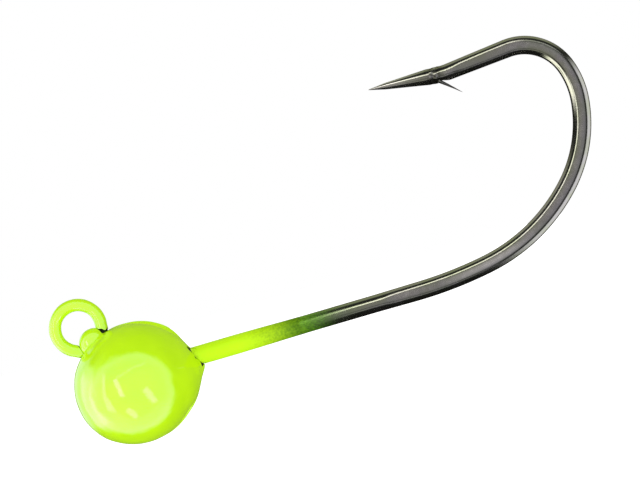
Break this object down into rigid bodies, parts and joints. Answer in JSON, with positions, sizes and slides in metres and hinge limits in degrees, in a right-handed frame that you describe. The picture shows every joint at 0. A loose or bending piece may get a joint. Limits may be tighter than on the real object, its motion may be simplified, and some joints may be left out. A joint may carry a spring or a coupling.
{
  "type": "jig head",
  "caption": "Ball-shaped lead jig head with a painted line eye and shank and a barbed wide-gap hook with a bare dark point.",
  "frame": {"origin": "centre of the line eye's loop", "axes": "+X along the hook shank from the head towards the bend; +Z square to the shank in the plane of the hook, towards the point; +Y along the axis of the line eye's hole"},
  "size_m": [0.039, 0.0084, 0.0192],
  "materials": {
    "hook_steel": "black-nickel plated, smooth and glossy",
    "eye_wire": "drawn wire, seen only in the cracks of the paint",
    "lead": "as cast, hidden under paint",
    "paint": "glossy fluorescent chartreuse coat"
  },
  "bodies": {
    "root": {"hook": "hook_steel", "line_eye": "eye_wire", "lead_head": "lead", "head_paint": "paint", "eye_paint": "paint", "shank_paint": "paint"}
  },
  "joints": []
}
